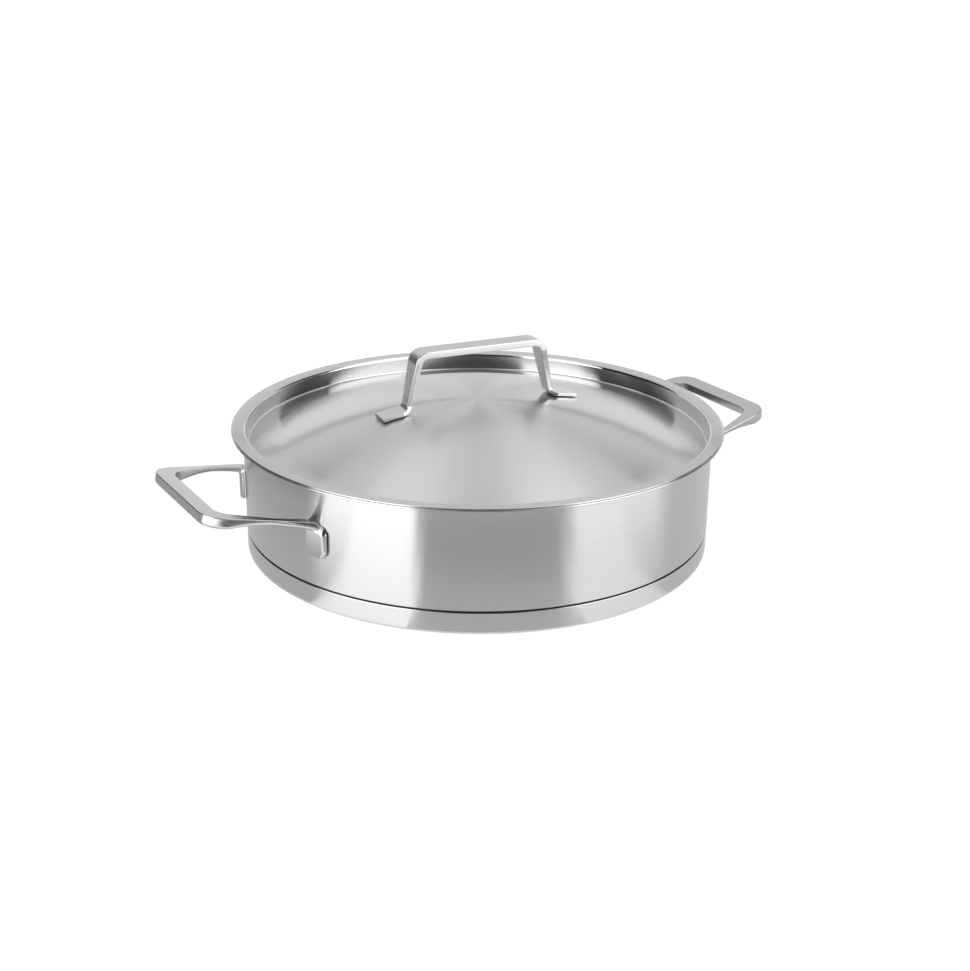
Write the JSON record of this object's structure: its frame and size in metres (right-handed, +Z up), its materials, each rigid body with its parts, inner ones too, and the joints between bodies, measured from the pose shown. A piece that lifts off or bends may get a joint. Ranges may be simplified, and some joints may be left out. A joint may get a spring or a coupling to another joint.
{
  "type": "casserole pot",
  "caption": "Low, wide round steel casserole pot with side loop handles, an encapsulated base and a sunken domed lid that carries a bent strap handle.",
  "frame": {"origin": "centre of the underside of the base", "axes": "+Z up along the pot's axis, +X along the line through the side handles"},
  "size_m": [0.3852, 0.2958, 0.1229],
  "materials": {
    "brushed_shell": "brushed round the axis",
    "satin_handle": "satin, polished edges",
    "core": "plain disc, hidden"
  },
  "bodies": {
    "pot": {"pot_body": "brushed_shell", "base_core": "core", "base_cap": "brushed_shell", "side_handle_right": "satin_handle", "side_handle_left": "satin_handle"},
    "lid": {"lid_shell": "brushed_shell", "lid_handle": "satin_handle"}
  },
  "joints": [
    {"name": "lid_lift", "type": "slide", "parent": "pot", "child": "lid", "axis": [0, 0, 1], "range_m": [0, 0.15]}
  ]
}
